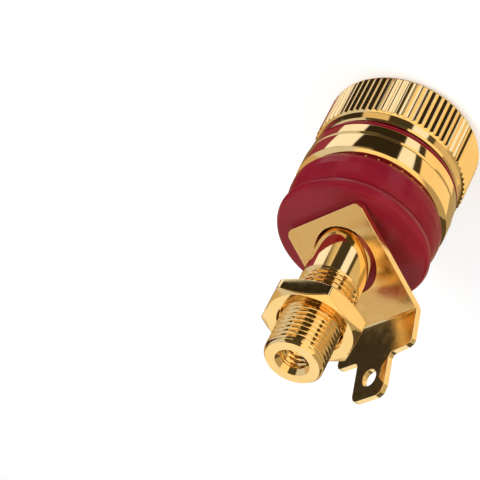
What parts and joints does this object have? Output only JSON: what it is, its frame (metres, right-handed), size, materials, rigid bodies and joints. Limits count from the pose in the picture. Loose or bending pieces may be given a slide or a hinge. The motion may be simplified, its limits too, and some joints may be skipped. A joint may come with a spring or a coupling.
{
  "type": "binding post",
  "caption": "Panel binding post: knurled screw knob, clamp ring, red colour ring, collar, two red insulators, threaded rear stud with thin hex nut and a bent solder tag.",
  "frame": {"origin": "centre of the front end face of the spindle, on the axis of the plug bore, which is where the post stands", "axes": "+Z along the turned axis toward the threaded rear end; +X toward the bent side of the solder tag; +Y across the tag"},
  "size_m": [0.0231, 0.0212, 0.0436],
  "materials": {
    "gold_brass": "gold plated, polished",
    "tag_brass": "gold plated sheet, satin",
    "red_plastic": "gloss"
  },
  "bodies": {
    "fixed": {"post": "gold_brass", "front_insulator": "red_plastic", "rear_insulator": "red_plastic"},
    "clamp": {"clamp_ring": "gold_brass", "colour_ring": "red_plastic"},
    "knob": {"knob": "gold_brass"},
    "tag": {"solder_tag": "tag_brass"},
    "nut": {"hex_nut": "gold_brass"}
  },
  "joints": [
    {"name": "clamp_slide", "type": "slide", "parent": "fixed", "child": "clamp", "axis": [0, 0, -1], "range_m": [0, 0.005]},
    {"name": "knob_turn", "type": "hinge", "parent": "clamp", "child": "knob", "pos_m": [0, 0, 0], "axis": [0, 0, -1], "range_deg": [0, 1800]},
    {"name": "tag_turn", "type": "hinge", "parent": "fixed", "child": "tag", "pos_m": [0, 0, 0], "axis": [0, 0, 1], "continuous": true},
    {"name": "nut_slide", "type": "slide", "parent": "fixed", "child": "nut", "axis": [0, 0, 1], "range_m": [-0.006, 0.0088]}
  ],
  "couplings": [
    {"joint": "knob_turn", "follows": "clamp_slide", "rad_per_m": 6283}
  ]
}
